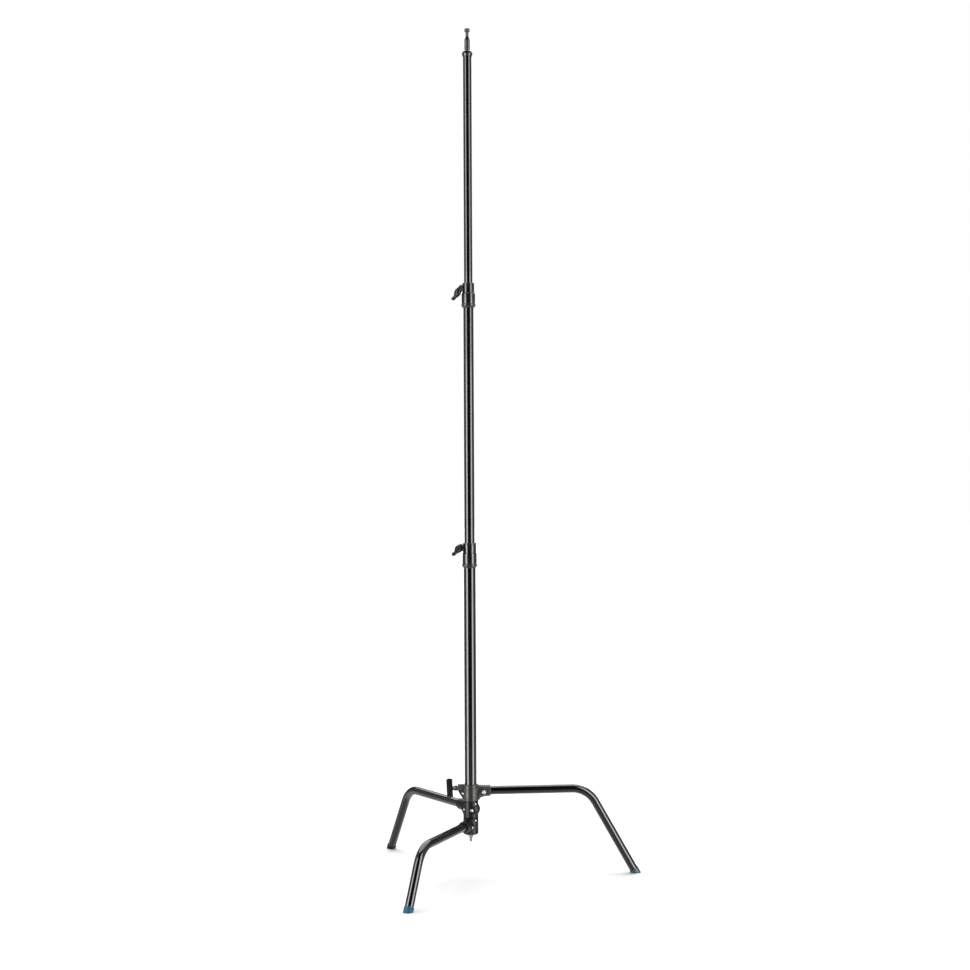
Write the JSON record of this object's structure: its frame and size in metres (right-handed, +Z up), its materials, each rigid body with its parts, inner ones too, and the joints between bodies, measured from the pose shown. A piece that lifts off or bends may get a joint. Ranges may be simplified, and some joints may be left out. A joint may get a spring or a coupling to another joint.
{
  "type": "c-stand",
  "caption": "Tall telescoping grip stand with two lever-clamped risers, a stud on top and bent legs that nest, one of them sliding on the column.",
  "frame": {"origin": "on the floor, under the middle of the footprint of the three feet", "axes": "+Z up along the column; +X towards the sliding leg's side; the clamp levers point to -X"},
  "size_m": [0.7872, 0.843, 2.53],
  "materials": {
    "gloss_black_paint": "gloss",
    "satin_black_casting": "satin",
    "black_plastic": "satin",
    "blue_plastic": "satin",
    "chrome": "polished",
    "zinc_steel": "satin",
    "brass": "satin",
    "nylon": "satin"
  },
  "bodies": {
    "column": {"column_tube": "gloss_black_paint", "column_plug": "zinc_steel", "base_spring": "zinc_steel", "clamp_1_collar": "satin_black_casting", "clamp_1_bushing": "nylon", "clamp_1_rivet": "zinc_steel"},
    "riser_1_guide": {"riser_1_guide": "black_plastic"},
    "riser_1": {"riser_1_tube": "gloss_black_paint", "clamp_2_collar": "satin_black_casting", "clamp_2_bushing": "nylon", "clamp_2_rivet": "zinc_steel"},
    "riser_2_guide": {"riser_2_guide": "black_plastic"},
    "riser_2": {"riser_2_tube": "gloss_black_paint", "top_collar": "satin_black_casting", "top_stud": "chrome"},
    "clamp_1_pad": {"clamp_1_pad": "brass"},
    "clamp_1_lever": {"clamp_1_lever": "satin_black_casting", "clamp_1_screw": "zinc_steel"},
    "clamp_2_pad": {"clamp_2_pad": "brass"},
    "clamp_2_lever": {"clamp_2_lever": "satin_black_casting", "clamp_2_screw": "zinc_steel"},
    "sliding_liner": {"sliding_liner": "nylon"},
    "sliding_leg": {"sliding_casting": "satin_black_casting", "sliding_leg_tube": "gloss_black_paint", "sliding_foot_cap": "blue_plastic", "sliding_socket_rivet": "zinc_steel", "sliding_boss_rivet": "zinc_steel"},
    "sliding_lock_pad": {"sliding_lock_pad": "brass"},
    "t_handle": {"t_handle_screw": "zinc_steel", "t_handle_hub": "satin_black_casting", "t_handle_bar": "satin_black_casting"},
    "middle_leg": {"middle_casting": "satin_black_casting", "middle_bushing": "nylon", "middle_leg_tube": "gloss_black_paint", "middle_foot_cap": "black_plastic", "middle_casting_rivet": "zinc_steel", "middle_casting_screw": "zinc_steel", "middle_side_rivet": "zinc_steel"},
    "lower_leg": {"lower_casting": "satin_black_casting", "lower_leg_tube": "gloss_black_paint", "lower_foot_cap": "blue_plastic", "lower_casting_rivet": "zinc_steel", "lower_casting_screw": "zinc_steel", "lower_socket_rivet": "zinc_steel", "tie_rod": "zinc_steel", "spring_retainer": "zinc_steel", "base_washer": "zinc_steel", "base_nut": "zinc_steel"}
  },
  "joints": [
    {"name": "riser_1_slide", "type": "slide", "parent": "column", "child": "riser_1_guide", "axis": [0, 0, 1], "range_m": [-0.7, 0]},
    {"name": "riser_1_swivel", "type": "hinge", "parent": "riser_1_guide", "child": "riser_1", "pos_m": [-0.11686, 0.00638, 0.9], "axis": [0, 0, 1], "continuous": true},
    {"name": "riser_2_slide", "type": "slide", "parent": "riser_1", "child": "riser_2_guide", "axis": [0, 0, 1], "range_m": [-0.673, 0]},
    {"name": "riser_2_swivel", "type": "hinge", "parent": "riser_2_guide", "child": "riser_2", "pos_m": [-0.11686, 0.00638, 1.7], "axis": [0, 0, 1], "continuous": true},
    {"name": "clamp_1_pad_travel", "type": "slide", "parent": "column", "child": "clamp_1_pad", "axis": [-1, 0, 0], "range_m": [0, 0.0016]},
    {"name": "clamp_1_lever_turn", "type": "hinge", "parent": "clamp_1_pad", "child": "clamp_1_lever", "pos_m": [-0.11686, 0.00638, 0.9815], "axis": [-1, 0, 0], "range_deg": [0, 360]},
    {"name": "clamp_2_pad_travel", "type": "slide", "parent": "riser_1", "child": "clamp_2_pad", "axis": [-1, 0, 0], "range_m": [0, 0.0016]},
    {"name": "clamp_2_lever_turn", "type": "hinge", "parent": "clamp_2_pad", "child": "clamp_2_lever", "pos_m": [-0.11686, 0.00638, 1.7565], "axis": [-1, 0, 0], "range_deg": [0, 360]},
    {"name": "sliding_leg_rise", "type": "slide", "parent": "column", "child": "sliding_liner", "axis": [0, 0, 1], "range_m": [0, 0.6]},
    {"name": "sliding_leg_swing", "type": "hinge", "parent": "sliding_liner", "child": "sliding_leg", "pos_m": [-0.11686, 0.00638, 0.2565], "axis": [0, 0, 1], "range_deg": [-112, 0]},
    {"name": "sliding_lock_pad_travel", "type": "slide", "parent": "sliding_leg", "child": "sliding_lock_pad", "axis": [-0.9956, -0.0941, 0], "range_m": [0, 0.0016]},
    {"name": "t_handle_turn", "type": "hinge", "parent": "sliding_lock_pad", "child": "t_handle", "pos_m": [-0.11686, 0.00638, 0.2655], "axis": [-0.9956, -0.0941, 0], "range_deg": [0, 360]},
    {"name": "middle_leg_swing", "type": "hinge", "parent": "column", "child": "middle_leg", "pos_m": [-0.11686, 0.00638, 0.2095], "axis": [0, 0, 1], "range_deg": [0, 115.5]},
    {"name": "base_release", "type": "slide", "parent": "column", "child": "lower_leg", "axis": [0, 0, -1], "range_m": [0, 0.008], "stiffness_N_per_m": 2500, "springref_m": -0.012, "deforming": ["base_spring"]}
  ],
  "couplings": [
    {"joint": "clamp_1_pad_travel", "follows": "clamp_1_lever_turn", "m_per_rad": 0.00023873},
    {"joint": "clamp_2_pad_travel", "follows": "clamp_2_lever_turn", "m_per_rad": 0.00023873},
    {"joint": "sliding_lock_pad_travel", "follows": "t_handle_turn", "m_per_rad": 0.00023873}
  ]
}
